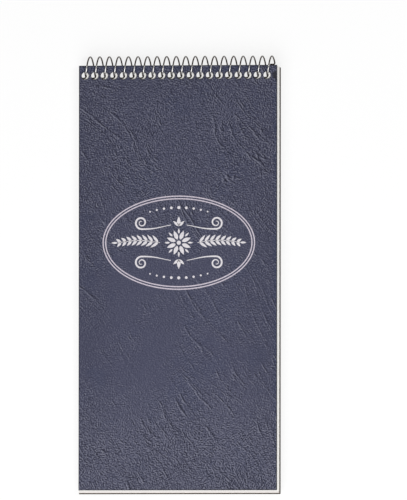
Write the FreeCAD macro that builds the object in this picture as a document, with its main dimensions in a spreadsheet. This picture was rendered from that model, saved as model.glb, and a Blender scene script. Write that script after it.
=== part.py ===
"""A reporter notebook: two covers and a block of ruled pages on one spiral wire along the top edge.

Millimetres. It lies closed on its back cover: +Z is up, +X is to the reader's right and +Y is
towards the bound top edge. The origin is at the bottom centre of the box round it all.
"""
import FreeCAD, Part

import math
import os

import Sketcher

V = FreeCAD.Vector

SIZES = {
    # The front cover, 3 3/4 by 8 inches, and the thickness of each layer of the stack.
    "cover_width": 95.25,
    "cover_length": 203.2,
    "cover_thickness": 0.45,
    "page_thickness": 4.4,
    "back_thickness": 0.65,
    # How far the pages and the back board stand out past the cover, and stop short at the top.
    "page_right": 0.8,
    "page_below": 1.15,
    "page_top_inset": 0.6,
    "back_left": 0.3,
    "back_right": 1.25,
    "back_below": 1.75,
    "back_top_inset": 1.0,
    # The row of punched holes.
    "hole_count": 20,
    "hole_pitch": 4.6,
    "hole_diameter": 3.5,
    "hole_from_left": 3.0,
    "hole_from_top": 4.85,
    # The spiral wire.
    "wire_diameter": 0.70,
    "coil_radius": 4.65,
    # Where the wire lies in the holes, measured from a hole's centre to the right and upwards.
    "wire_right_in_cover": 0.30,
    "wire_above_in_cover": 0.60,
    "wire_right_in_pages": 0.80,
    "wire_right_in_back": 0.90,
    "wire_above_in_back": -0.60,
    # The wire's two ends: where they leave the coil, and the bend that is crimped in each.
    "coil_first_angle": -75,
    "coil_last_angle": 248,
    "tail_bend_radius": 0.7,
    "tail_length": 1.6,
}

# Formulas over the sheet's cells. Heights are above the coil's axis unless they say otherwise.
STACK = "(Sizes.cover_thickness + Sizes.page_thickness + Sizes.back_thickness)"
PAGE_TOP = f"({STACK} / 2 - Sizes.cover_thickness)"
PAGE_BOTTOM = f"(Sizes.back_thickness - {STACK} / 2)"
COVER_MIDDLE = f"(({STACK} - Sizes.cover_thickness) / 2)"
BACK_MIDDLE = f"((Sizes.back_thickness - {STACK}) / 2)"


def wire_reach(height):
    """How far in front of the coil's axis the wire passes at a height."""
    return f"sqrt(Sizes.coil_radius ^ 2 - {height} ^ 2)"


def wire_advance(height):
    """How far the wire has moved to the right at a height, from where it passes the axis's height."""
    return f"(Sizes.hole_pitch * asin({height} / Sizes.coil_radius) / 360deg)"


HOLE_TO_AXIS = f"({wire_reach(COVER_MIDDLE)} + Sizes.wire_above_in_cover)"
EDGE_PAST_AXIS = f"(Sizes.hole_from_top - {HOLE_TO_AXIS})"

# The coil's axis and the front cover's top left corner, in the part's own frame.
AXIS_Z = "(Sizes.coil_radius + Sizes.wire_diameter / 2)"
AXIS_Y = f"((Sizes.cover_length + Sizes.back_below - {EDGE_PAST_AXIS} - {AXIS_Z}) / 2)"
LEFT_X = "((Sizes.back_left - Sizes.cover_width - Sizes.back_right) / 2)"
TOP_Y = f"({AXIS_Y} + {EDGE_PAST_AXIS})"

# Where the first turn passes the height of the coil's axis, from the front cover's left edge.
WIRE_FROM_LEFT = f"(Sizes.hole_from_left + Sizes.wire_right_in_cover - {wire_advance(COVER_MIDDLE)})"

# The pages' holes are centred on the bow of the wire inside them.
PAGE_HOLE_TO_AXIS = f"((Sizes.coil_radius + {wire_reach(PAGE_TOP)}) / 2)"


def make_sizes(doc):
    """Write every driving dimension to the sheet, as a plain number with its own alias."""
    sheet = doc.addObject("Spreadsheet::Sheet", "Sizes")
    for row, (name, value) in enumerate(SIZES.items(), start=1):
        sheet.set(f"A{row}", name)
        sheet.set(f"B{row}", str(value))
        sheet.setAlias(f"B{row}", name)
    doc.recompute()
    return sheet


def flat_sketch(body, name):
    """A sketch on the body's own XY plane."""
    sketch = body.newObject("Sketcher::SketchObject", name)
    plane = next(item for item in body.Origin.OriginFeatures if item.Role == "XY_Plane")
    sketch.AttachmentSupport = [(plane, "")]
    sketch.MapMode = "FlatFace"
    return sketch


def bind_constraint(sketch, constraint, name, formula):
    """Add a named dimension to a sketch and tie it to the sheet."""
    index = sketch.addConstraint(constraint)
    sketch.renameConstraint(index, name)
    sketch.setExpression(f"Constraints.{name}", formula)


def draw_outline(sketch, width, length):
    """A rectangle whose top left corner is the sketch's origin."""
    corners = [V(0, 0, 0), V(9, 0, 0), V(9, -9, 0), V(0, -9, 0)]
    for start, end in zip(corners, corners[1:] + corners[:1]):
        sketch.addGeometry(Part.LineSegment(start, end), False)
    for side in range(4):
        sketch.addConstraint(Sketcher.Constraint("Coincident", side, 2, (side + 1) % 4, 1))
    for side, kind in enumerate(("Horizontal", "Vertical", "Horizontal", "Vertical")):
        sketch.addConstraint(Sketcher.Constraint(kind, side))
    sketch.addConstraint(Sketcher.Constraint("Coincident", 0, 1, -1, 1))
    bind_constraint(sketch, Sketcher.Constraint("DistanceX", 0, 1, 0, 2, 9), "width", width)
    bind_constraint(sketch, Sketcher.Constraint("DistanceY", 1, 2, 1, 1, 9), "length", length)


def draw_hole(sketch, from_left, from_top):
    """The first hole of the row, placed from the outline's top left corner."""
    sketch.addGeometry(Part.Circle(V(3, -5, 0), V(0, 0, 1), 2), False)
    bind_constraint(sketch, Sketcher.Constraint("Diameter", 0, 4), "diameter", "Sizes.hole_diameter")
    bind_constraint(sketch, Sketcher.Constraint("DistanceX", -1, 1, 0, 3, 3), "from_left", from_left)
    bind_constraint(sketch, Sketcher.Constraint("DistanceY", 0, 3, -1, 1, 5), "from_top", from_top)


def make_sheet(doc, name, outline, first_hole, thickness, left, top, underside):
    """A flat sheet, or a block of them, with the row of holes punched along its top edge."""
    body = doc.addObject("PartDesign::Body", name)
    body.Label = name
    outline_sketch = flat_sketch(body, f"{name}_outline")
    draw_outline(outline_sketch, *outline)
    pad = body.newObject("PartDesign::Pad", f"{name}_pad")
    pad.Profile = outline_sketch
    pad.setExpression("Length", thickness)
    doc.recompute()

    hole_sketch = flat_sketch(body, f"{name}_hole")
    draw_hole(hole_sketch, *first_hole)
    punch = body.newObject("PartDesign::Pocket", f"{name}_punch")
    punch.Profile = hole_sketch
    punch.Type = "ThroughAll"
    punch.Reversed = True
    doc.recompute()

    row = body.newObject("PartDesign::LinearPattern", f"{name}_row")
    row.Originals = [punch]
    row.Direction = (hole_sketch, ["H_Axis"])
    row.setExpression("Length", "Sizes.hole_pitch * (Sizes.hole_count - 1)")
    row.setExpression("Occurrences", "Sizes.hole_count")
    body.Tip = row

    body.setExpression("Placement.Base.x", left)
    body.setExpression("Placement.Base.y", top)
    body.setExpression("Placement.Base.z", f"{AXIS_Z} + {underside}")
    return body


def make_front_cover(doc):
    """The leatherette-faced board that the wire shows through."""
    return make_sheet(
        doc, "front_cover",
        outline=("Sizes.cover_width", "Sizes.cover_length"),
        first_hole=("Sizes.hole_from_left", "Sizes.hole_from_top"),
        thickness="Sizes.cover_thickness",
        left=LEFT_X,
        top=TOP_Y,
        underside=PAGE_TOP,
    )


def make_page_block(doc):
    """All the ruled pages, as one block that stands out a little past the cover."""
    return make_sheet(
        doc, "page_block",
        outline=("Sizes.cover_width + Sizes.page_right",
                 "Sizes.cover_length + Sizes.page_below - Sizes.page_top_inset"),
        first_hole=(f"{WIRE_FROM_LEFT} - Sizes.wire_right_in_pages",
                    f"{EDGE_PAST_AXIS} + {PAGE_HOLE_TO_AXIS} - Sizes.page_top_inset"),
        thickness="Sizes.page_thickness",
        left=LEFT_X,
        top=f"{TOP_Y} - Sizes.page_top_inset",
        underside=PAGE_BOTTOM,
    )


def make_back_cover(doc):
    """The plain chipboard back, the largest of the sheets."""
    return make_sheet(
        doc, "back_cover",
        outline=("Sizes.back_left + Sizes.cover_width + Sizes.back_right",
                 "Sizes.cover_length + Sizes.back_below - Sizes.back_top_inset"),
        first_hole=(f"Sizes.back_left + {WIRE_FROM_LEFT} + {wire_advance(BACK_MIDDLE)}"
                    " - Sizes.wire_right_in_back",
                    f"{EDGE_PAST_AXIS} + {wire_reach(BACK_MIDDLE)} + Sizes.wire_above_in_back"
                    " - Sizes.back_top_inset"),
        thickness="Sizes.back_thickness",
        left=f"{LEFT_X} - Sizes.back_left",
        top=f"{TOP_Y} - Sizes.back_top_inset",
        underside=f"(-{STACK} / 2)",
    )


def crimped_tail(end, outward, inward, bend_radius, length):
    """The bend and the short straight end that keep the wire from winding out of the holes."""
    turn = math.acos(max(-1.0, min(1.0, outward.dot(inward))))
    sideways = (inward - outward * outward.dot(inward)).normalize()
    centre = end + sideways * bend_radius

    def on_bend(angle):
        return centre - sideways * (bend_radius * math.cos(angle)) + outward * (bend_radius * math.sin(angle))

    bend_end = on_bend(turn)
    bend = Part.Arc(end, on_bend(turn / 2), bend_end).toShape()
    straight = Part.LineSegment(bend_end, bend_end + inward * length).toShape()
    return [bend, straight]


def coil_path(sheet):
    """The wire's centre line: one long helix about the X direction with a crimped tail at each end."""
    radius = sheet.coil_radius
    pitch = sheet.hole_pitch
    first = sheet.coil_first_angle
    last = 360 * (sheet.hole_count - 1) + sheet.coil_last_angle
    height = pitch * (last - first) / 360
    axis_start = V(
        sheet.evalExpression(f"{LEFT_X} + {WIRE_FROM_LEFT}") + pitch * first / 360,
        sheet.evalExpression(AXIS_Y),
        sheet.evalExpression(AXIS_Z),
    )

    def outward_at(angle):
        turn = math.radians(angle)
        return V(0, -math.cos(turn), math.sin(turn))

    def tangent_at(angle):
        turn = math.radians(angle)
        around = radius * 2 * math.pi / pitch
        return V(1, around * math.sin(turn), around * math.cos(turn)).normalize()

    helix = Part.makeHelix(pitch, height, radius, 0, True)
    start_out = outward_at(first)
    start_side = V(1, 0, 0).cross(start_out)
    helix.Placement = FreeCAD.Placement(
        axis_start, FreeCAD.Rotation(start_out, start_side, V(1, 0, 0), "ZXY"))
    start = axis_start + start_out * radius
    end = axis_start + V(height, 0, 0) + outward_at(last) * radius
    tail = (sheet.tail_bend_radius, sheet.tail_length)
    head = crimped_tail(start, tangent_at(first) * -1, V(1, 0, 0), *tail)
    foot = crimped_tail(end, tangent_at(last), V(-1, 0, 0), *tail)
    return Part.Wire(Part.__sortEdges__(head + helix.Edges + foot))


def make_binding_wire(doc, sheet):
    """One round wire swept along the coil's path."""
    path = coil_path(sheet)
    first_edge = path.OrderedEdges[0]
    start = first_edge.valueAt(first_edge.FirstParameter)
    along = first_edge.tangentAt(first_edge.FirstParameter)
    section = Part.Wire(Part.Circle(start, along, sheet.wire_diameter / 2).toShape())
    wire = doc.addObject("Part::Feature", "binding_wire")
    wire.Label = "binding_wire"
    wire.Shape = path.makePipeShell([section], True, False, 2)
    return wire


def check(doc, pieces):
    """Stop if any object failed to compute, or any piece isn't one valid solid."""
    for item in doc.Objects:
        if {"Invalid", "Error"} & set(item.State):
            raise RuntimeError(f"{item.Name} is {item.State}")
    for piece in pieces:
        shape = piece.Shape
        if shape.isNull() or not shape.isValid() or len(shape.Solids) != 1:
            raise RuntimeError(f"{piece.Label} isn't one valid solid")


def main():
    doc = FreeCAD.newDocument("reporter_notebook")
    sheet = make_sizes(doc)
    pieces = [make_front_cover(doc), make_page_block(doc), make_back_cover(doc)]
    pieces.append(make_binding_wire(doc, sheet))
    doc.recompute()
    check(doc, pieces)
    os.makedirs("parts", exist_ok=True)
    for piece in pieces:
        piece.Shape.exportStep(f"parts/{piece.Label}.step")
        box = piece.Shape.BoundBox
        print(f"{piece.Label}: volume {piece.Shape.Volume:.2f},"
              f" X {box.XMin:.3f} to {box.XMax:.3f}, Y {box.YMin:.3f} to {box.YMax:.3f},"
              f" Z {box.ZMin:.3f} to {box.ZMax:.3f}")
    print("hinge axis at y", sheet.evalExpression(AXIS_Y), "z", sheet.evalExpression(AXIS_Z))


main()
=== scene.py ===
"""The looks of a reporter notebook: leatherette cover with a foil emblem, ruled pages, board and spiral wire.

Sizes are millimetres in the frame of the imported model: +X to the reader's right, +Y to the bound edge, +Z up.
"""
import math
import random

import bmesh
import bpy
from mathutils import Matrix, Vector


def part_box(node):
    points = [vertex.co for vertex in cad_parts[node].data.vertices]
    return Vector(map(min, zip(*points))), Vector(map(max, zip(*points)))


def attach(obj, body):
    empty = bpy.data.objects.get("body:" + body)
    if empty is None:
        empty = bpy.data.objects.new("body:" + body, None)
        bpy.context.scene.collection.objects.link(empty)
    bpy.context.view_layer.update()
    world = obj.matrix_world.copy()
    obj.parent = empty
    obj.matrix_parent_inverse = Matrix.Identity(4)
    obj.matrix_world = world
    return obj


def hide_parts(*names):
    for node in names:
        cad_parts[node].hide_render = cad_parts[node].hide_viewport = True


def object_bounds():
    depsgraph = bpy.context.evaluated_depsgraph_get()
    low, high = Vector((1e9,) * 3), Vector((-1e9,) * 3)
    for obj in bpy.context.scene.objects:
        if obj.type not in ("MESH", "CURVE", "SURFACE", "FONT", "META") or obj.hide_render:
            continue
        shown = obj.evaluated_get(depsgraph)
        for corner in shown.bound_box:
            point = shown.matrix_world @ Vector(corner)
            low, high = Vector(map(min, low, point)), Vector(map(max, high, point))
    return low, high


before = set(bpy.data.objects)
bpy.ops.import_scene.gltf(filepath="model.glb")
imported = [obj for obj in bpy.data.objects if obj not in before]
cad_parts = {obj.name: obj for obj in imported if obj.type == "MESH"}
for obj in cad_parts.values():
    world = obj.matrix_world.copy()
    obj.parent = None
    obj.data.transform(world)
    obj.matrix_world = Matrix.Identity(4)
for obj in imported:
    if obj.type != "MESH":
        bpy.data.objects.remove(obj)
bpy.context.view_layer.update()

MM = 0.001
COVER_LOW, COVER_HIGH = [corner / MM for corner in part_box("front_cover")]
PAGES_LOW, PAGES_HIGH = [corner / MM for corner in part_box("page_block")]
BOARD_LOW, BOARD_HIGH = [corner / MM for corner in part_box("back_cover")]
WIRE_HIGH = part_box("binding_wire")[1] / MM

# The punched holes.
HOLE_COUNT = 20
HOLE_PITCH = 4.6
HOLE_RADIUS = 1.75
HOLE_FROM_LEFT = 3.0
HOLE_FROM_TOP = 4.85

# The spiral wire, and how far right of a hole's centre it lies in the front cover and in the pages.
WIRE_DIAMETER = 0.70
COIL_RADIUS = 4.65
WIRE_RIGHT_IN_COVER = 0.30
WIRE_RIGHT_IN_PAGES = 0.80
COIL_FIRST_ANGLE = -75
COIL_END_IN_LAST_TURN = 248
COIL_LAST_ANGLE = 360 * (HOLE_COUNT - 1) + COIL_END_IN_LAST_TURN
TAIL_BEND_RADIUS = 0.7
TAIL_LENGTH = 1.6

# The coil's axis, from the box of the wire.
COIL_Y = WIRE_HIGH.y - WIRE_DIAMETER / 2 - COIL_RADIUS
COIL_Z = WIRE_HIGH.z - WIRE_DIAMETER / 2 - COIL_RADIUS


def wire_advance(height):
    """How far the wire has moved to the right at a height above the coil's axis."""
    return HOLE_PITCH * math.asin(height / COIL_RADIUS) / math.tau


# Where the coil starts along X, and the centre of the first hole in the cover and in the pages. The cover's
# middle is a height above the coil's axis, and the reach is how far the wire is from it at the top page.
COVER_MIDDLE = (COVER_LOW.z + COVER_HIGH.z) / 2 - COIL_Z
COIL_X = COVER_LOW.x + HOLE_FROM_LEFT + WIRE_RIGHT_IN_COVER - wire_advance(COVER_MIDDLE)
COVER_HOLE = Vector((COVER_LOW.x + HOLE_FROM_LEFT, COVER_HIGH.y - HOLE_FROM_TOP))
PAGE_TOP_REACH = math.sqrt(COIL_RADIUS ** 2 - (PAGES_HIGH.z - COIL_Z) ** 2)
PAGE_HOLE = Vector((COIL_X - WIRE_RIGHT_IN_PAGES, COIL_Y - (COIL_RADIUS + PAGE_TOP_REACH) / 2))


def ellipse(half_width, half_height, angle):
    """A point on an upright ellipse round the origin, at an angle in degrees."""
    turned = math.radians(angle)
    return half_width * math.cos(turned), half_height * math.sin(turned)


def new_object(name, bm, body, material, smooth=False):
    """Turn a bmesh in millimetres into a piece that rides on a body."""
    bmesh.ops.scale(bm, vec=(MM, MM, MM), verts=bm.verts)
    bmesh.ops.recalc_face_normals(bm, faces=bm.faces)
    mesh = bpy.data.meshes.new(name)
    bm.to_mesh(mesh)
    bm.free()
    for face in mesh.polygons:
        face.use_smooth = smooth
    piece = bpy.data.objects.new(name, mesh)
    bpy.context.scene.collection.objects.link(piece)
    piece.data.materials.append(material)
    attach(piece, body)
    return piece


class Paint:
    """Builds the nodes of one material. Lengths are millimetres, and scales are patterns per millimetre."""

    def __init__(self, name):
        self.material = bpy.data.materials.new(name)
        self.material.use_nodes = True
        self.tree = self.material.node_tree
        self.shader = self.tree.nodes["Principled BSDF"]
        coordinates = self.tree.nodes.new("ShaderNodeTexCoord").outputs
        self.place = self.scaled(coordinates["Object"], (1 / MM, 1 / MM, 1 / MM))
        self.x, self.y, self.z = self.node("ShaderNodeSeparateXYZ", {0: self.place}).outputs
        self.facing_up = self.node("ShaderNodeSeparateXYZ", {0: coordinates["Normal"]}).outputs[2]

    def put(self, socket, value):
        """Link another socket's result to a socket, or set its plain value."""
        if isinstance(value, bpy.types.NodeSocket):
            self.tree.links.new(value, socket)
        else:
            socket.default_value = value

    def node(self, kind, inputs, **settings):
        """A new node of a kind, with its settings made and its inputs filled."""
        node = self.tree.nodes.new(kind)
        for key, value in settings.items():
            setattr(node, key, value)
        for key, value in inputs.items():
            self.put(node.inputs[key], value)
        return node

    def math(self, operation, a, b=0.0, clamp=False):
        return self.node("ShaderNodeMath", {0: a, 1: b}, operation=operation, use_clamp=clamp).outputs[0]

    def plus(self, a, b):
        return self.math("ADD", a, b)

    def minus(self, a, b):
        return self.math("SUBTRACT", a, b)

    def times(self, a, b, clamp=False):
        return self.math("MULTIPLY", a, b, clamp)

    def larger(self, a, b):
        return self.math("MAXIMUM", a, b)

    def smaller(self, a, b):
        return self.math("MINIMUM", a, b)

    def distance(self, a, b):
        """How far two numbers lie apart."""
        return self.math("ABSOLUTE", self.minus(a, b))

    def rise(self, value, low, high):
        """0 where the value is below low, 1 where it is above high, and smooth between."""
        inputs = {"Value": value, "From Min": low, "From Max": high}
        return self.node("ShaderNodeMapRange", inputs, interpolation_type="SMOOTHSTEP").outputs[0]

    def fall(self, value, low, high):
        return self.minus(1.0, self.rise(value, low, high))

    def scaled(self, vector, scale, turn=0.0):
        """A vector turned about Z by an angle in degrees, then scaled."""
        turned = vector
        if turn:
            inputs = {"Vector": vector, "Angle": math.radians(turn)}
            turned = self.node("ShaderNodeVectorRotate", inputs).outputs[0]
        return self.node("ShaderNodeVectorMath", {0: turned, 1: scale}, operation="MULTIPLY").outputs[0]

    def shifted(self, vector, shift):
        return self.node("ShaderNodeVectorMath", {0: vector, 1: shift}, operation="ADD").outputs[0]

    def noise(self, vector, scale, detail=2.0, roughness=0.5, output="Fac"):
        inputs = {"Vector": vector, "Scale": scale, "Detail": detail, "Roughness": roughness}
        return self.node("ShaderNodeTexNoise", inputs).outputs[output]

    def ripples(self, vector, heading, scale, waves, evenness):
        """Short ripples across a heading in radians: how many waves each has, and how straight it is."""
        inputs = {"Vector": vector, "Scale": scale, "Frequency": waves, "Anisotropy": evenness,
                  "Orientation": heading}
        return self.node("ShaderNodeTexGabor", inputs).outputs["Value"]

    def mix(self, share, a, b, strength=1.0):
        """A colour between two: the first one where the share is 0, and nearest to the second one at 1."""
        amount = share if strength == 1.0 else self.times(share, strength)
        return self.node("ShaderNodeMix", {0: amount, 6: a, 7: b}, data_type="RGBA").outputs[2]

    def feed(self, name, value):
        self.put(self.shader.inputs[name], value)

    def feed_roughness(self, pattern, least, spread):
        """Make the surface rougher where a pattern is high."""
        self.feed("Roughness", self.plus(self.times(pattern, spread), least))

    def bump(self, height, strength, depth):
        """Raise the surface by a height of 0 to 1 times a depth in millimetres."""
        inputs = {"Height": height, "Strength": strength, "Distance": depth * MM}
        self.feed("Normal", self.node("ShaderNodeBump", inputs).outputs[0])


def tone(red, green, blue):
    """A colour as a screen shows it, 0 to 255, turned into Blender's linear colour by the sRGB formula."""
    channels = [value / 255 for value in (red, green, blue)]
    linear = [c / 12.92 if c <= 0.04045 else ((c + 0.055) / 1.055) ** 2.4 for c in channels]
    return (*linear, 1.0)


def distance_to_outline(paint, low, high):
    """How far a point lies inside the nearest edge of a box, seen from above."""
    left = paint.minus(paint.x, low.x)
    right = paint.minus(high.x, paint.x)
    bottom = paint.minus(paint.y, low.y)
    top = paint.minus(high.y, paint.y)
    return paint.smaller(paint.smaller(left, right), paint.smaller(bottom, top))


def distance_to_hole(paint, first):
    """How far a point lies from the centre of the nearest hole of a row."""
    along = paint.minus(paint.x, first.x - HOLE_PITCH / 2)
    along = paint.minus(paint.math("FLOORED_MODULO", along, HOLE_PITCH), HOLE_PITCH / 2)
    across = paint.minus(paint.y, first.y)
    squares = paint.plus(paint.times(along, along), paint.times(across, across))
    return paint.math("SQRT", squares)


# The front cover's leatherette

COVER_TONE = tone(65, 67, 91)
# The dark tone stands in for painted shade, and the light tone for painted highlight and painted light.
COVER_DARK = tone(26, 28, 50)
COVER_LIGHT = tone(114, 115, 132)
COVER_BLUE = tone(50, 58, 88)
COVER_EDGE = tone(24, 24, 34)
COVER_INSIDE = tone(92, 96, 114)

# Bands of the cover, each from where it begins to where it ends. The first four are measured from the top
# edge, the side band from the right edge, the next two from the nearest edge, and the last one from the
# centre of a hole.
STRONG_GRAIN_AT_TOP = (50.0, 105.0)
STRONG_GRAIN_AT_BOTTOM = (145.0, 190.0)
PAINTED_LIGHT_AT_BOTTOM = (140.0, 185.0)
TOP_BAND = (2.4, 3.6)
SIDE_BAND = (1.2, 2.6)
SHADED_EDGE = (4.0, 24.0)
CUT_EDGE = (0.2, 0.55)
HOLE_RIM = (HOLE_RADIUS + 0.1, HOLE_RADIUS + 0.45)
BAND_STRENGTH = 0.8
PAINTED_LIGHT_STRENGTH = 0.12
SHADE_STRENGTH = 0.17
CUT_STRENGTH = 0.8
# The height of a face's normal, from facing down to leaning.
FACING_DOWN = (-0.9, -0.5)

# How strongly the grain stands out, in its bump and in the painted shade and highlight that follow it:
# everywhere, and what is added near the top, near the bottom, in patches.
GRAIN_STRENGTH_EVERYWHERE = 0.25
GRAIN_STRENGTH_AT_TOP = 0.45
GRAIN_STRENGTH_AT_BOTTOM = 0.7
GRAIN_STRENGTH_IN_PATCHES = 0.3
PATCH_SCALE = 0.05
PATCH_RANGE = (0.38, 0.62)

# Bluer clouds in the cover's colour.
BLUE_SCALE = 0.06
BLUE_RANGE = (0.5, 0.7)
BLUE_STRENGTH = 0.3

# The grain mixes dust with fine and coarse ripples, which lie across a heading in radians that drifts.
FINE_RIPPLES = {"scale": 0.66, "waves": 1.4, "evenness": 0.3}
FINE_SHARE = 0.5
COARSE_RIPPLES = {"scale": 0.3, "waves": 1.7, "evenness": 0.5}
COARSE_SHARE = 0.1
DUST = {"scale": 1.1, "detail": 3.0, "roughness": 0.75}
DUST_SHARE = 0.4
GRAIN_HEADING = 0.75
GRAIN_DRIFT = 4.0
DRIFT_SCALE = 0.07
GRAIN_DEPTH = 0.5
# How quickly the colour turns dark in the grain's hollows as painted shade, and light on its crests as painted
# highlight.
PAINTED_SHADE_IN_HOLLOWS = -10.0
PAINTED_HIGHLIGHT_ON_CRESTS = 8.0

# Thin steep folds, each a hollow with a raised line beside it, which the grain's painted shade turns dark and
# its painted highlight pale, on a sheet that is bent out of true first.
FOLD_SPACING = 4.5
FOLD_LENGTH = 60.0
FOLD_SLANT = -38
FOLD_REACH = 0.014
FOLD_STRENGTH = 0.17
FLANK_SHIFT = (0.6, 0.3, 0.0)
FLANK_STRENGTH = 0.9
BEND_SCALE = 0.025
BEND_REACH = 24.0


def creases(paint, place):
    """Thin lines, 1 along each one, where a drawn-out noise passes through its middle value."""
    drawn_out = paint.scaled(place, (1 / FOLD_SPACING, 1 / FOLD_LENGTH, 1.0), turn=FOLD_SLANT)
    return paint.fall(paint.distance(paint.noise(drawn_out, scale=1.0), 0.5), 0.0, FOLD_REACH)


def folds(paint):
    """Above 0 along the hollow of each fold, painted dark as shade, and below 0 along the raised line beside
    it, painted pale as highlight.
    """
    bend = paint.noise(paint.place, scale=BEND_SCALE, detail=1.0, output="Color")
    bent = paint.shifted(paint.place, paint.scaled(bend, (BEND_REACH, BEND_REACH, 0.0)))
    flanks = paint.times(creases(paint, paint.shifted(bent, FLANK_SHIFT)), FLANK_STRENGTH)
    return paint.minus(creases(paint, bent), flanks)


def leatherette():
    """Dark blue embossed cover stock: fine slanting grain and folds, with painted shade in their hollows and
    painted highlight on their crests, painted shade near the edges, painted light towards the bottom, dark cut
    edges and a plain inside.
    """
    paint = Paint("leatherette")
    from_top = paint.minus(COVER_HIGH.y, paint.y)
    from_right = paint.minus(COVER_HIGH.x, paint.x)
    to_outline = distance_to_outline(paint, COVER_LOW, COVER_HIGH)

    near_top = paint.times(paint.fall(from_top, *STRONG_GRAIN_AT_TOP), GRAIN_STRENGTH_AT_TOP)
    near_bottom = paint.times(paint.rise(from_top, *STRONG_GRAIN_AT_BOTTOM), GRAIN_STRENGTH_AT_BOTTOM)
    patches = paint.rise(paint.noise(paint.place, scale=PATCH_SCALE), *PATCH_RANGE)
    grain_strength = paint.plus(paint.larger(near_top, near_bottom), paint.times(patches, GRAIN_STRENGTH_IN_PATCHES))
    grain_strength = paint.plus(grain_strength, GRAIN_STRENGTH_EVERYWHERE)

    drift = paint.minus(paint.noise(paint.place, scale=DRIFT_SCALE), 0.5)
    heading = paint.plus(paint.times(drift, GRAIN_DRIFT), GRAIN_HEADING)
    fine = paint.ripples(paint.place, heading, **FINE_RIPPLES)
    coarse = paint.ripples(paint.place, heading, **COARSE_RIPPLES)
    dust = paint.noise(paint.place, **DUST)
    grain = paint.plus(paint.times(fine, FINE_SHARE), paint.times(coarse, COARSE_SHARE))
    grain = paint.plus(grain, paint.times(dust, DUST_SHARE))
    grain = paint.minus(grain, paint.times(paint.times(folds(paint), patches), FOLD_STRENGTH))
    relief = paint.times(paint.minus(grain, 0.5), grain_strength)

    blue = paint.times(paint.rise(paint.noise(paint.place, scale=BLUE_SCALE), *BLUE_RANGE), BLUE_STRENGTH)
    bands = paint.larger(paint.fall(from_right, *SIDE_BAND), paint.fall(from_top, *TOP_BAND))
    colour = paint.mix(paint.larger(blue, paint.times(bands, BAND_STRENGTH)), COVER_TONE, COVER_BLUE)
    colour = paint.mix(paint.fall(to_outline, *SHADED_EDGE), colour, COVER_DARK, SHADE_STRENGTH)
    # Painted light: the cover turns paler towards the bottom.
    colour = paint.mix(paint.rise(from_top, *PAINTED_LIGHT_AT_BOTTOM), colour, COVER_LIGHT, PAINTED_LIGHT_STRENGTH)
    # Painted shade in the grain's hollows and painted highlight on its crests.
    colour = paint.mix(paint.times(relief, PAINTED_SHADE_IN_HOLLOWS, clamp=True), colour, COVER_DARK)
    colour = paint.mix(paint.times(relief, PAINTED_HIGHLIGHT_ON_CRESTS, clamp=True), colour, COVER_LIGHT)
    rim = paint.fall(distance_to_hole(paint, COVER_HOLE), *HOLE_RIM)
    cut = paint.larger(paint.fall(to_outline, *CUT_EDGE), rim)
    colour = paint.mix(cut, colour, COVER_EDGE, CUT_STRENGTH)
    inside = paint.fall(paint.facing_up, *FACING_DOWN)
    colour = paint.mix(inside, colour, paint.mix(dust, COVER_TONE, COVER_INSIDE))
    paint.feed("Base Color", colour)
    paint.feed_roughness(grain, least=0.4, spread=0.2)
    paint.feed("Specular IOR Level", 0.35)
    paint.bump(paint.times(relief, paint.minus(1.0, inside)), strength=1.0, depth=GRAIN_DEPTH)
    return paint.material


# The pages' paper, the back's chipboard, the wire's steel and the emblem's foil

RULE_HEADER_FROM_TOP = 22.1
RULE_FIRST_FROM_TOP = 28.8
RULE_PITCH = 6.28
RULE_COUNT = 28
# Each line is solid to the first distance from its middle, and gone at the second one.
RULE_LINE = (0.12, 0.22)
HEADER_LINE = (0.35, 0.5)
RULE_INK = tone(168, 164, 176)
HEADER_INK = tone(190, 174, 168)
INK_STRENGTH = 0.8
BARE_MARGIN = (0.4, 0.9)
PAINTED_SHADE_AT_LOWER_EDGE = (0.6, 0.9)
# The height of a face's normal, from leaning to facing up.
FACING_UP = (0.8, 0.95)


def ruling(paint):
    """1 along the ruled lines of the pages, and 1 along their header line."""
    from_top = paint.minus(PAGES_HIGH.y, paint.y)
    ruled_top = RULE_FIRST_FROM_TOP - RULE_PITCH / 2
    along = paint.math("FLOORED_MODULO", paint.minus(from_top, ruled_top), RULE_PITCH)
    lines = paint.fall(paint.distance(along, RULE_PITCH / 2), *RULE_LINE)
    below_top = paint.math("GREATER_THAN", from_top, ruled_top)
    above_foot = paint.math("LESS_THAN", from_top, ruled_top + RULE_PITCH * RULE_COUNT)
    lines = paint.times(lines, paint.times(below_top, above_foot))
    header = paint.fall(paint.distance(from_top, RULE_HEADER_FROM_TOP), *HEADER_LINE)
    up = paint.rise(paint.facing_up, *FACING_UP)
    ruled = paint.times(paint.rise(distance_to_outline(paint, PAGES_LOW, PAGES_HIGH), *BARE_MARGIN), up)
    return paint.times(lines, ruled), paint.times(header, ruled)


def paper():
    """White writing paper, ruled on its upper face, with painted shade along its lower edge."""
    paint = Paint("paper")
    drawn_out = paint.scaled(paint.place, (1.0, 0.35, 1.0), turn=20)
    fibres = paint.noise(drawn_out, scale=3.0, detail=4.0, roughness=0.7)
    colour = paint.mix(paint.rise(fibres, low=0.35, high=0.75), tone(247, 245, 241), tone(253, 252, 250))
    lines, header = ruling(paint)
    colour = paint.mix(lines, colour, RULE_INK, INK_STRENGTH)
    colour = paint.mix(header, colour, HEADER_INK, INK_STRENGTH)
    # Painted shade along the pages' lower edge.
    lower_edge_shade = paint.fall(paint.minus(paint.y, PAGES_LOW.y), *PAINTED_SHADE_AT_LOWER_EDGE)
    colour = paint.mix(lower_edge_shade, colour, tone(226, 219, 217), strength=0.7)
    paint.feed("Base Color", colour)
    paint.feed_roughness(fibres, least=0.62, spread=0.1)
    paint.feed("Specular IOR Level", 0.3)
    paint.bump(fibres, strength=0.3, depth=0.02)
    return paint.material


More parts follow.
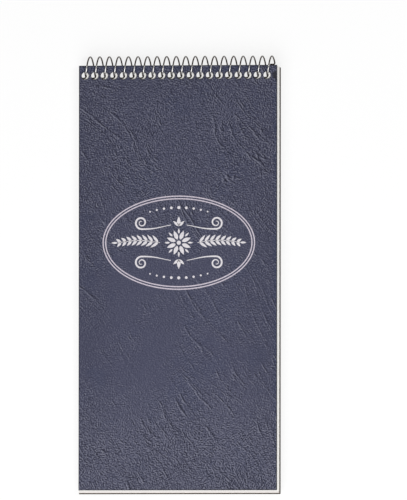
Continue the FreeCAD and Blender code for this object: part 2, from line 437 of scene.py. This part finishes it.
def chipboard():
    """Grey-brown board pressed from recycled fibre, with dark and pale specks and dark cut edges."""
    paint = Paint("chipboard")
    pulp = paint.noise(paint.place, scale=0.8, detail=5.0, roughness=0.65)
    drawn_out = paint.scaled(paint.place, (1.0, 0.12, 6.0), turn=35)
    fibres = paint.noise(drawn_out, scale=2.2, detail=3.0, roughness=0.6)
    pale = paint.rise(fibres, low=0.62, high=0.75)
    specks = paint.rise(paint.noise(paint.place, scale=1.7), low=0.68, high=0.75)
    edge = paint.fall(distance_to_outline(paint, BOARD_LOW, BOARD_HIGH), low=0.5, high=0.8)
    colour = paint.mix(paint.rise(pulp, low=0.3, high=0.7), tone(112, 104, 92), tone(136, 127, 114))
    colour = paint.mix(pale, colour, tone(186, 177, 160), strength=0.6)
    colour = paint.mix(specks, colour, tone(72, 64, 56), strength=0.7)
    colour = paint.mix(edge, colour, tone(54, 43, 31), strength=0.8)
    paint.feed("Base Color", colour)
    paint.feed_roughness(fibres, least=0.78, spread=0.15)
    paint.feed("Specular IOR Level", 0.2)
    paint.bump(paint.plus(pulp, fibres), strength=0.4, depth=0.05)
    return paint.material


# The wire's painted highlight lies above the cover's face and before the coil's axis, and fades over these
# heights and widths.
PAINTED_HIGHLIGHT_HEIGHTS = (COVER_HIGH.z - 0.2, COVER_HIGH.z + 0.6)
PAINTED_HIGHLIGHT_WIDTHS = (COIL_Y - 0.6, COIL_Y + 0.6)


def steel():
    """Drawn steel wire: a painted highlight where it lies over the cover, and painted dark reflection with
    tarnish everywhere else.
    """
    paint = Paint("steel_wire")
    streaks = paint.noise(paint.place, scale=2.5, detail=4.0, roughness=0.6)
    tarnish = paint.rise(paint.noise(paint.place, scale=0.6, detail=3.0), low=0.5, high=0.75)
    # Painted highlight on the strands over the cover; the dull tones elsewhere are painted dark reflection,
    # with tarnish in patches.
    painted_highlight = paint.times(paint.fall(paint.y, *PAINTED_HIGHLIGHT_WIDTHS), paint.rise(paint.z, *PAINTED_HIGHLIGHT_HEIGHTS))
    dull = paint.mix(streaks, tone(74, 67, 62), tone(106, 99, 94))
    dull = paint.mix(tarnish, dull, tone(66, 49, 38), strength=0.7)
    bright = paint.mix(streaks, tone(208, 206, 204), tone(232, 231, 230))
    paint.feed("Base Color", paint.mix(painted_highlight, dull, bright))
    paint.feed("Metallic", 1.0)
    paint.feed_roughness(streaks, least=0.2, spread=0.16)
    paint.bump(streaks, strength=0.15, depth=0.02)
    return paint.material


def foil(name, dull, bright):
    """Pale silver foil, stamped a little unevenly into the grain, between two tones."""
    paint = Paint(name)
    grain = paint.noise(paint.place, scale=2.4, detail=3.0, roughness=0.6)
    paint.feed("Base Color", paint.mix(paint.rise(grain, low=0.3, high=0.7), dull, bright))
    paint.feed("Metallic", 0.25)
    paint.feed_roughness(grain, least=0.35, spread=0.2)
    paint.bump(grain, strength=0.3, depth=0.02)
    return paint.material


PAPER = paper()
STEEL = steel()
BORDER_FOIL = foil("border_foil", dull=tone(196, 186, 200), bright=tone(226, 217, 228))
MOTIF_FOIL = foil("motif_foil", dull=tone(218, 213, 219), bright=tone(246, 243, 246))


def dress_node(name, material):
    """Give a CAD node one finish in place of its own."""
    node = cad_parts[name]
    node.data.materials.clear()
    node.data.materials.append(material)


dress_node("front_cover", leatherette())
dress_node("back_cover", chipboard())


# The pages: thin sheets, each cut a little differently

SHEET_COUNT = 40
SHEET_JITTER = 0.07
SHEET_SEED = 7
# How much of a sheet's share of the height is left free below it, and again above it.
SHEET_GAP = 0.06
HOLE_SIDES = 16
# Corners of neighbouring faces are the same where they agree to this many digits.
WELD_DIGITS = 5


def add_plate(bm, faces, low, high):
    """A flat plate between two heights whose faces are given as rings of points, seen from above."""
    made = {}

    def vertex(point, height):
        key = (*point, height)
        if key not in made:
            made[key] = bm.verts.new(key)
        return made[key]

    borders = set()
    for face in faces:
        ring = [(round(x, WELD_DIGITS), round(y, WELD_DIGITS)) for x, y in face]
        bm.faces.new([vertex(point, high) for point in ring])
        bm.faces.new([vertex(point, low) for point in reversed(ring)])
        for start, end in zip(ring, ring[1:] + ring[:1]):
            if (end, start) in borders:
                borders.remove((end, start))
            else:
                borders.add((start, end))
    for start, end in sorted(borders):
        bm.faces.new([vertex(start, low), vertex(end, low), vertex(end, high), vertex(start, high)])


def punched_sheet(left, right, bottom, top, first_hole):
    """The faces of a sheet with a row of round holes: a ring of quads round each hole, and plain strips."""
    half = HOLE_PITCH / 2
    row_low, row_high = first_hole.y - half, first_hole.y + half
    faces = []
    for n in range(HOLE_COUNT):
        centre_x = first_hole.x + HOLE_PITCH * n
        rim, square = [], []
        for step in range(HOLE_SIDES):
            across, upward = ellipse(1.0, 1.0, 360 * step / HOLE_SIDES)
            stretch = half / max(abs(across), abs(upward))
            rim.append((centre_x + HOLE_RADIUS * across, first_hole.y + HOLE_RADIUS * upward))
            square.append((max(left, centre_x + stretch * across), first_hole.y + stretch * upward))
        for step in range(HOLE_SIDES):
            after = (step + 1) % HOLE_SIDES
            faces.append([rim[step], square[step], square[after], rim[after]])

    # The strips above, below and right of the row take up every corner that the squares have on that side.
    to_corner = HOLE_SIDES // 8
    offsets = [half * math.tan(math.tau * step / HOLE_SIDES) for step in range(-to_corner, to_corner + 1)]
    row_xs = sorted({round(max(left, first_hole.x + HOLE_PITCH * n + offset), WELD_DIGITS)
                     for n in range(HOLE_COUNT) for offset in offsets})
    upper_row = [(x, row_high) for x in row_xs]
    lower_row = [(x, row_low) for x in reversed(row_xs)]
    last_column = [(row_xs[-1], first_hole.y + offset) for offset in reversed(offsets)]
    faces.append([(left, top)] + upper_row + [(right, row_high), (right, top)])
    faces.append([(right, bottom), (right, row_low)] + lower_row + [(left, bottom)])
    faces.append([(right, row_low), (right, row_high)] + last_column)
    return faces


def make_pages():
    """A block of separate sheets in the page block's place."""
    rng = random.Random(SHEET_SEED)
    thickness = (PAGES_HIGH.z - PAGES_LOW.z) / SHEET_COUNT
    bm = bmesh.new()
    for n in range(SHEET_COUNT):
        low = PAGES_LOW.z + thickness * (n + SHEET_GAP)
        high = PAGES_LOW.z + thickness * (n + 1 - SHEET_GAP)
        slip_x = rng.uniform(-SHEET_JITTER, SHEET_JITTER)
        slip_y = rng.uniform(-SHEET_JITTER, SHEET_JITTER)
        trim = rng.uniform(0.0, SHEET_JITTER)
        left, right = PAGES_LOW.x + slip_x + SHEET_JITTER, PAGES_HIGH.x + slip_x - trim
        bottom, top = PAGES_LOW.y + slip_y + trim, PAGES_HIGH.y + slip_y
        add_plate(bm, punched_sheet(left, right, bottom, top, PAGE_HOLE), low, high)
    pages = new_object("pages", bm, "page_block", PAPER)
    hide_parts("page_block")


make_pages()


# The wire: one smooth tube along the coil, with a crimped tail at each end

WIRE_SIDES = 14
COIL_STEP = 6.0
TAIL_BEND_STEPS = 8
TAIL_STEPS = 2
# Each end of the wire starts at this share of its radius, and has all of it this many radii further in.
END_SHARE = 0.7
END_INSET = 0.3


def coil_point(angle):
    """A point on the coil's middle line, at an angle in degrees from where it starts."""
    turned = math.radians(angle)
    return Vector((COIL_X + HOLE_PITCH * angle / 360,
                   COIL_Y - COIL_RADIUS * math.cos(turned),
                   COIL_Z + COIL_RADIUS * math.sin(turned)))


def crimped_tail(angle, outwards, side):
    """Points that leave the coil at an angle, bend and run on straight along the coil's axis.

    Outwards is a step of one degree off the coil's end, and side is 1 to run to the right, or -1 to the left.
    """
    start = coil_point(angle)
    ahead = (coil_point(angle + outwards) - start).normalized()
    along = Vector((side, 0, 0))
    turn = math.acos(ahead.dot(along))
    inward = (along - ahead * ahead.dot(along)).normalized()
    centre = start + inward * TAIL_BEND_RADIUS
    points = []
    for step in range(1, TAIL_BEND_STEPS + 1):
        bent = turn * step / TAIL_BEND_STEPS
        direction = ahead * math.sin(bent) - inward * math.cos(bent)
        points.append(centre + direction * TAIL_BEND_RADIUS)
    for step in range(TAIL_STEPS):
        points.append(points[-1] + along * TAIL_LENGTH / TAIL_STEPS)
    return points


def sweep(bm, points, radius, sides):
    """A round tube along a line of points, closed by slightly rounded ends."""
    rings = []
    across = None
    for n, point in enumerate(points):
        before, after = points[max(n - 1, 0)], points[min(n + 1, len(points) - 1)]
        ahead = (after - before).normalized()
        across = ahead.orthogonal() if across is None else across - ahead * across.dot(ahead)
        across.normalize()
        upright = ahead.cross(across)
        profile = [(1.0, Vector())]
        if n == 0:
            profile = [(END_SHARE, Vector()), (1.0, ahead * radius * END_INSET)]
        elif n == len(points) - 1:
            profile = [(1.0, -ahead * radius * END_INSET), (END_SHARE, Vector())]
        for share, shift in profile:
            ring = []
            for side in range(sides):
                angle = math.tau * side / sides
                offset = (across * math.cos(angle) + upright * math.sin(angle)) * radius * share
                ring.append(bm.verts.new(point + shift + offset))
            rings.append(ring)
    for ring, after in zip(rings, rings[1:]):
        for side in range(sides):
            other = (side + 1) % sides
            bm.faces.new([ring[side], ring[other], after[other], after[side]])
    bm.faces.new(reversed(rings[0]))
    bm.faces.new(rings[-1])


def make_wire():
    """The binding wire in the place of the CAD one, with the same coil and tails."""
    turned = COIL_LAST_ANGLE - COIL_FIRST_ANGLE
    steps = round(turned / COIL_STEP)
    coil = [coil_point(COIL_FIRST_ANGLE + turned * n / steps) for n in range(steps + 1)]
    first_tail = crimped_tail(COIL_FIRST_ANGLE, -1, 1)
    last_tail = crimped_tail(COIL_LAST_ANGLE, 1, -1)
    bm = bmesh.new()
    sweep(bm, first_tail[::-1] + coil + last_tail, WIRE_DIAMETER / 2, WIRE_SIDES)
    wire = new_object("wire", bm, "binding_wire", STEEL, smooth=True)
    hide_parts("binding_wire")


make_wire()


# The emblem, flat foil on the cover: a double oval line round a rosette, two leafy sprigs and four scrolls

EMBLEM_FROM_LEFT = 48.1
EMBLEM_FROM_TOP = 84.9
EMBLEM = Vector((COVER_LOW.x + EMBLEM_FROM_LEFT, COVER_HIGH.y - EMBLEM_FROM_TOP))
FOIL_LIFT = 0.008
FOIL_THICKNESS = 0.012

OVAL_HALF_WIDTH = 36.65
OVAL_HALF_HEIGHT = 22.55
OVAL_LINE = 0.56
OVAL_GAP = 0.68
OVAL_SIDES = 180

# A leaf's or petal's size is its length and width. A stroke's widths are those at its ends and midway.
LEAF_STEPS = 8
LEAF_FULLNESS = 0.8
DOT_SIDES = 16

PETAL_COUNT = 8
PETAL_START = 1.6
PETAL_SIZE = (4.6, 1.9)
SEPAL_START = 4.3
SEPAL_SIZE = (2.6, 0.9)
ROSETTE_EYE = 1.0

STEM_START = 9.0
STEM_LENGTH = 20.5
STEM_RISE = 1.1
STEM_STEPS = 24
STEM_WIDTHS = (0.25, 0.4)
LEAF_EVERY = 3
LEAF_LEAN = 42
LEAF_LENGTH = 4.6
LEAF_SHORTER_EACH_STEP = 0.08
LEAF_WIDTH = 1.25
TIP_SIZE = (3.0, 1.0)

SCROLL_CENTRE = (18.0, 9.6)
SCROLL_INNER_RADIUS = 0.55
SCROLL_GROWTH = 2.5
SCROLL_END_ANGLE = -90
SCROLL_TURN = 560
SCROLL_STEPS = 40
SCROLL_TAIL_LENGTH = 14.2
SCROLL_TAIL_RISE = 1.9
SCROLL_TAIL_STEPS = 24
SCROLL_WIDTHS = (0.3, 0.85)

DOT_ARC = (29.5, 16.8)
DOTS_EACH_SIDE = 4
DOT_STEP = 7.0
DOT_RADIUS = 0.75
DOT_SMALLER_EACH_STEP = 0.09

TREFOIL_UP = 8.0
TREFOIL_SIZE = (4.6, 1.7)
TREFOIL_SIDE_SIZE = (3.6, 1.3)
TREFOIL_LEAN = 48


def add_foil(bm, outline):
    """A flat patch of foil on the cover, from its outline about the emblem's centre."""
    low = COVER_HIGH.z + FOIL_LIFT
    high = low + FOIL_THICKNESS
    ring = [(EMBLEM.x + x, EMBLEM.y + y) for x, y in outline]
    top = [bm.verts.new((x, y, high)) for x, y in ring]
    bottom = [bm.verts.new((x, y, low)) for x, y in ring]
    bm.faces.new(top)
    bm.faces.new(bottom[::-1])
    for n in range(len(ring)):
        after = (n + 1) % len(ring)
        bm.faces.new([bottom[n], bottom[after], top[after], top[n]])


def add_oval(bm, half_width, half_height, line):
    """A thin oval line, as a band of short plates."""
    for n in range(OVAL_SIDES):
        start, end = 360 * n / OVAL_SIDES, 360 * (n + 1) / OVAL_SIDES
        add_foil(bm, [ellipse(half_width, half_height, start),
                      ellipse(half_width, half_height, end),
                      ellipse(half_width - line, half_height - line, end),
                      ellipse(half_width - line, half_height - line, start)])


def add_leaf(bm, x, y, angle, length, width):
    """A pointed leaf that starts at a point and grows along an angle in degrees."""
    turned = math.radians(angle)
    upper = []
    for n in range(LEAF_STEPS + 1):
        share = n / LEAF_STEPS
        upper.append((length * share, width / 2 * math.sin(math.pi * share ** LEAF_FULLNESS)))
    lower = [(u, -v) for u, v in upper[-2:0:-1]]
    outline = []
    for u, v in upper + lower:
        outline.append((x + u * math.cos(turned) - v * math.sin(turned),
                        y + u * math.sin(turned) + v * math.cos(turned)))
    add_foil(bm, outline)


def add_dot(bm, x, y, radius):
    around = [ellipse(radius, radius, 360 * n / DOT_SIDES) for n in range(DOT_SIDES)]
    add_foil(bm, [(x + u, y + v) for u, v in around])


def add_stroke(bm, points, thin, thick):
    """A pen stroke through points: thin at both ends and thick in the middle, as short plates."""
    count = len(points) - 1
    left, right = [], []
    for n, (x, y) in enumerate(points):
        (ax, ay), (bx, by) = points[max(n - 1, 0)], points[min(n + 1, count)]
        length = math.hypot(bx - ax, by - ay)
        half = (thin + (thick - thin) * math.sin(math.pi * n / count) ** 2) / 2
        across = ((ay - by) / length * half, (bx - ax) / length * half)
        left.append((x + across[0], y + across[1]))
        right.append((x - across[0], y - across[1]))
    for n in range(count):
        add_foil(bm, [right[n], right[n + 1], left[n + 1], left[n]])


def add_rosette(bm):
    """Petals round a dot, with a small sepal between every two."""
    between = 360 / PETAL_COUNT
    for n in range(PETAL_COUNT):
        angle = between * (n + 0.5)
        add_leaf(bm, *ellipse(PETAL_START, PETAL_START, angle), angle, *PETAL_SIZE)
        angle += between / 2
        add_leaf(bm, *ellipse(SEPAL_START, SEPAL_START, angle), angle, *SEPAL_SIZE)
    add_dot(bm, 0, 0, ROSETTE_EYE)


def add_sprig(bm, side):
    """A stem that runs outwards from near the middle, with pairs of leaves and one at its tip."""
    stem = []
    for n in range(STEM_STEPS + 1):
        share = n / STEM_STEPS
        stem.append((side * (STEM_START + STEM_LENGTH * share), STEM_RISE * math.sin(math.pi * share)))
    add_stroke(bm, stem, *STEM_WIDTHS)
    for n in range(1, STEM_STEPS, LEAF_EVERY):
        (ax, ay), (bx, by) = stem[n - 1], stem[n + 1]
        heading = math.degrees(math.atan2(by - ay, bx - ax))
        for lean in (-LEAF_LEAN, LEAF_LEAN):
            length = LEAF_LENGTH - LEAF_SHORTER_EACH_STEP * n
            add_leaf(bm, *stem[n], heading + lean, length, LEAF_WIDTH)
    add_leaf(bm, *stem[-1], 90 - 90 * side, *TIP_SIZE)


def add_scroll(bm, side, upward):
    """A curl that opens into a long tail, which rises towards the middle."""
    centre_x, centre_y = SCROLL_CENTRE
    points = []
    for n in range(SCROLL_STEPS + 1):
        share = n / SCROLL_STEPS
        radius = SCROLL_INNER_RADIUS + SCROLL_GROWTH * share
        x, y = ellipse(radius, radius, SCROLL_END_ANGLE + SCROLL_TURN * (1 - share))
        points.append((centre_x + x, centre_y + y))
    start_x, start_y = points[-1]
    for n in range(1, SCROLL_TAIL_STEPS + 1):
        share = n / SCROLL_TAIL_STEPS
        rise = SCROLL_TAIL_RISE * math.sin(math.pi * share / 2) ** 2 * share
        points.append((start_x - SCROLL_TAIL_LENGTH * share, start_y + rise))
    add_stroke(bm, [(side * x, upward * y) for x, y in points], *SCROLL_WIDTHS)


def add_dots_and_trefoil(bm, upward):
    """A row of dots along an arc inside the oval, and three leaves between its middle and the rosette."""
    for n in range(-DOTS_EACH_SIDE, DOTS_EACH_SIDE + 1):
        x, y = ellipse(*DOT_ARC, 90 * upward - DOT_STEP * n)
        add_dot(bm, x, y, DOT_RADIUS - DOT_SMALLER_EACH_STEP * abs(n))
    start = (0, TREFOIL_UP * upward)
    add_leaf(bm, *start, 90 * upward, *TREFOIL_SIZE)
    for lean in (-TREFOIL_LEAN, TREFOIL_LEAN):
        add_leaf(bm, *start, 90 * upward + lean, *TREFOIL_SIDE_SIZE)


def make_emblem():
    """The border and the motif, as two pieces in foil of two tones."""
    border = bmesh.new()
    for grown in (0.0, OVAL_LINE + OVAL_GAP):
        add_oval(border, OVAL_HALF_WIDTH - grown, OVAL_HALF_HEIGHT - grown, OVAL_LINE)
    new_object("emblem_border", border, "front_cover", BORDER_FOIL)

    motif = bmesh.new()
    add_rosette(motif)
    for side in (-1, 1):
        add_sprig(motif, side)
        for upward in (-1, 1):
            add_scroll(motif, side, upward)
    for upward in (-1, 1):
        add_dots_and_trefoil(motif, upward)
    new_object("emblem_motif", motif, "front_cover", MOTIF_FOIL)


make_emblem()


# The floor, the lamps and the world. Their sizes and places are metres, and the lamps' powers are watts.

FLOOR_SIZE = 6.0
FLOOR_LEVEL = 0.8
# What the camera and reflections see of the floor: a glow, and a little light that shows the shadow.
FLOOR_GLOW = 0.8
FLOOR_SHADED_LEVEL = 0.22
WORLD_LEVEL = 0.26
LAMPS = {
    "key": {"place": (-0.12, -0.6, 0.66), "width": 0.9, "height": 0.8, "power": 7},
    "fill": {"place": (0.55, 0.2, 1.2), "width": 0.4, "height": 0.4, "power": 4},
}


def make_floor():
    """A plain white floor: white to the camera and in reflections, with a faint shadow."""
    bpy.ops.mesh.primitive_plane_add(size=FLOOR_SIZE, location=(0, 0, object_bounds()[0].z))
    floor = bpy.context.object
    floor.name = "floor"
    material = bpy.data.materials.new("floor")
    material.use_nodes = True
    tree = material.node_tree
    tree.nodes.clear()

    def node(kind, *links):
        """A new node whose first inputs are linked to the given sockets."""
        made = tree.nodes.new(kind)
        for number, socket in enumerate(links):
            tree.links.new(socket, made.inputs[number])
        return made

    rays = node("ShaderNodeLightPath").outputs
    mirrored = node("ShaderNodeMath", rays["Is Glossy Ray"], rays["Is Transmission Ray"])
    mirrored.operation = "MAXIMUM"
    seen = node("ShaderNodeMath", rays["Is Camera Ray"], mirrored.outputs[0])
    seen.operation = "MAXIMUM"
    plain = node("ShaderNodeBsdfDiffuse")
    plain.inputs["Color"].default_value = (FLOOR_LEVEL, FLOOR_LEVEL, FLOOR_LEVEL, 1)
    shaded = node("ShaderNodeBsdfDiffuse")
    shaded.inputs["Color"].default_value = (FLOOR_SHADED_LEVEL, FLOOR_SHADED_LEVEL, FLOOR_SHADED_LEVEL, 1)
    glow = node("ShaderNodeEmission")
    glow.inputs["Strength"].default_value = FLOOR_GLOW
    bright = node("ShaderNodeAddShader", shaded.outputs[0], glow.outputs[0])
    chosen = node("ShaderNodeMixShader", seen.outputs[0], plain.outputs[0], bright.outputs[0])
    node("ShaderNodeOutputMaterial", chosen.outputs[0])
    floor.data.materials.append(material)


def make_lamp(name, place, width, height, power):
    """A soft lamp that looks at the notebook."""
    lamp = bpy.data.lights.new(name, "AREA")
    lamp.shape = "RECTANGLE"
    lamp.size = width
    lamp.size_y = height
    lamp.energy = power
    holder = bpy.data.objects.new(name, lamp)
    holder.location = place
    holder.rotation_euler = (-Vector(place)).to_track_quat("-Z", "Y").to_euler()
    bpy.context.scene.collection.objects.link(holder)


def make_world():
    """Even white light from all round."""
    world = bpy.data.worlds.new("world")
    world.use_nodes = True
    background = world.node_tree.nodes["Background"]
    background.inputs["Color"].default_value = (1, 1, 1, 1)
    background.inputs["Strength"].default_value = WORLD_LEVEL
    bpy.context.scene.world = world


# The camera. The picture's middle lies right of the cover's centre and above it.

FRAME_LONG_SIDE = 238.9
AIM_RIGHT = 12.29
AIM_UP = 13.2
CAMERA_DISTANCE = 6000.0
# How far the camera stands to the right and towards the reader, as shares of its height.
LEAN_RIGHT = 0.105
LEAN_DOWN = 0.04
# Seen slantwise the cover's corners aren't square: its long edges stay this near to upright.
UPRIGHT_SHARE = 0.8
SENSOR_WIDTH = 36
# The farthest thing that the camera sees, in metres.
CAMERA_REACH = 20


def make_camera():
    """A long lens above the cover, a little to its lower right, turned to keep the cover's edges level."""
    back = Vector((LEAN_RIGHT, -LEAN_DOWN, 1)).normalized()
    x_seen = (Vector((1, 0, 0)) - back * back.x).normalized()
    y_seen = (Vector((0, 1, 0)) - back * back.y).normalized()
    up = (y_seen * UPRIGHT_SHARE + back.cross(x_seen) * (1 - UPRIGHT_SHARE)).normalized()
    right = up.cross(back)
    centre = Vector(((COVER_LOW.x + COVER_HIGH.x) / 2, (COVER_LOW.y + COVER_HIGH.y) / 2, COVER_HIGH.z))
    aim = centre + right * AIM_RIGHT + up * AIM_UP
    camera = bpy.data.cameras.new("camera")
    camera.sensor_width = SENSOR_WIDTH
    camera.lens = SENSOR_WIDTH * CAMERA_DISTANCE / FRAME_LONG_SIDE
    camera.clip_end = CAMERA_REACH
    holder = bpy.data.objects.new("camera", camera)
    turn = Matrix((right, up, back)).transposed().to_4x4()
    holder.matrix_world = Matrix.Translation((aim + back * CAMERA_DISTANCE) * MM) @ turn
    bpy.context.scene.collection.objects.link(holder)
    bpy.context.scene.camera = holder


make_floor()
make_world()
for lamp_name, lamp_values in LAMPS.items():
    make_lamp(lamp_name, **lamp_values)
make_camera()
bpy.context.scene.view_settings.view_transform = "Standard"
